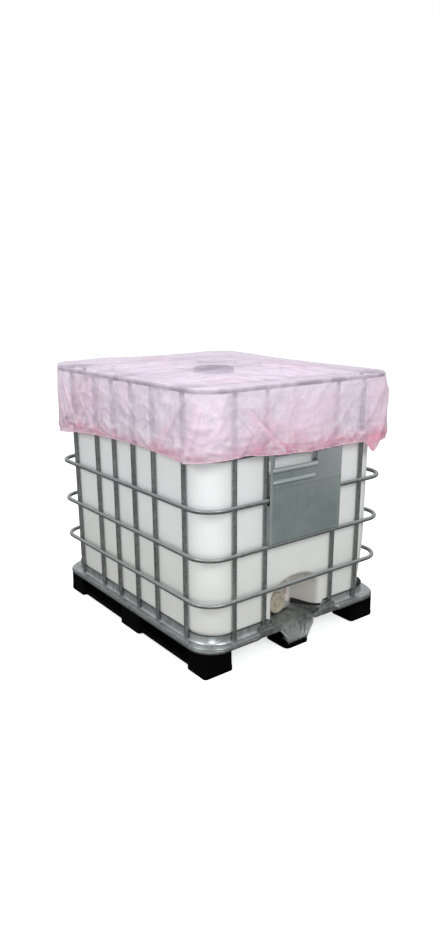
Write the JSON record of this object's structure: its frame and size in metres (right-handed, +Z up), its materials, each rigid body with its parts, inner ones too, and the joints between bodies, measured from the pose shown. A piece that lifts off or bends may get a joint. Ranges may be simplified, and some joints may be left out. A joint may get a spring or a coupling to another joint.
{
  "type": "intermediate bulk container",
  "caption": "White plastic bulk container in a galvanised tube cage on black skids, with screw lid, recessed outlet valve and cap, and a pink film cover that lifts off.",
  "frame": {"origin": "on the floor, under the middle of the container", "axes": "+Z up, +X across the width, the outlet valve faces -Y"},
  "size_m": [1.018, 1.218, 1.1445],
  "materials": {
    "black_plastic": "moulded, satin",
    "galvanised_tube": "galvanised, dull",
    "galvanised_sheet": "galvanised, satin",
    "zinc_fasteners": "zinc plated",
    "tank_white": "blow moulded, translucent",
    "lid_plastic": "moulded, satin",
    "valve_plastic": "moulded, satin",
    "handle_plastic": "moulded, satin",
    "seal_rubber": "matte",
    "pink_film": "thin translucent film",
    "hem_band": "film-wrapped elastic"
  },
  "bodies": {
    "container": {"left_skid": "black_plastic", "right_skid": "black_plastic", "centre_skid": "black_plastic", "skid_screws": "zinc_fasteners", "weld_nuts": "zinc_fasteners", "base_tray": "galvanised_sheet", "base_ring": "galvanised_tube", "front_leg": "galvanised_sheet", "leg_screws": "zinc_fasteners", "lower_hoop": "galvanised_tube", "middle_hoop": "galvanised_tube", "upper_hoop": "galvanised_tube", "shoulder_hoop": "galvanised_tube", "top_rim": "galvanised_tube", "left_uprights": "galvanised_tube", "right_uprights": "galvanised_tube", "front_uprights": "galvanised_tube", "back_uprights": "galvanised_tube", "front_cross_bar": "galvanised_tube", "back_cross_bar": "galvanised_tube", "bar_screws": "zinc_fasteners", "front_plate": "galvanised_sheet", "plate_rivets": "zinc_fasteners", "bottle": "tank_white", "bottle_deck": "tank_white", "neck_collar": "tank_white", "fill_neck": "tank_white", "valve_pocket": "tank_white", "outlet_neck": "tank_white", "valve_gasket": "seal_rubber", "union_nut": "valve_plastic", "valve_body": "valve_plastic", "stem_seal": "seal_rubber"},
    "lid_seal": {"lid_gasket": "seal_rubber"},
    "lid": {"lid": "lid_plastic"},
    "cap_seal": {"cap_gasket": "seal_rubber"},
    "cap": {"outlet_cap": "valve_plastic"},
    "valve_lever": {"valve_stem": "zinc_fasteners", "valve_disc": "valve_plastic", "handle": "handle_plastic", "handle_screw": "zinc_fasteners"},
    "cover": {"film_cover": "pink_film", "hem_elastic": "hem_band"}
  },
  "joints": [
    {"name": "cover_lift", "type": "slide", "parent": "container", "child": "cover", "axis": [0, 0, 1], "range_m": [0, 0.35]},
    {"name": "lid_lift", "type": "slide", "parent": "container", "child": "lid_seal", "axis": [0, 0, 1], "range_m": [0, 0.0141]},
    {"name": "lid_turn", "type": "hinge", "parent": "lid_seal", "child": "lid", "pos_m": [0, 0, 1.115], "axis": [0, 0, 1], "range_deg": [0, 720]},
    {"name": "handle_turn", "type": "hinge", "parent": "container", "child": "valve_lever", "pos_m": [0, -0.4105, 0.2], "axis": [0, 0, -1], "range_deg": [0, 90]},
    {"name": "cap_slide", "type": "slide", "parent": "container", "child": "cap_seal", "axis": [0, -1, 0], "range_m": [0, 0.0121]},
    {"name": "cap_turn", "type": "hinge", "parent": "cap_seal", "child": "cap", "pos_m": [0, -0.444, 0.146], "axis": [0, -1, 0], "range_deg": [0, 720]}
  ],
  "couplings": [
    {"joint": "lid_lift", "follows": "lid_turn", "m_per_rad": 0.0011141},
    {"joint": "cap_slide", "follows": "cap_turn", "m_per_rad": 0.00095493}
  ]
}
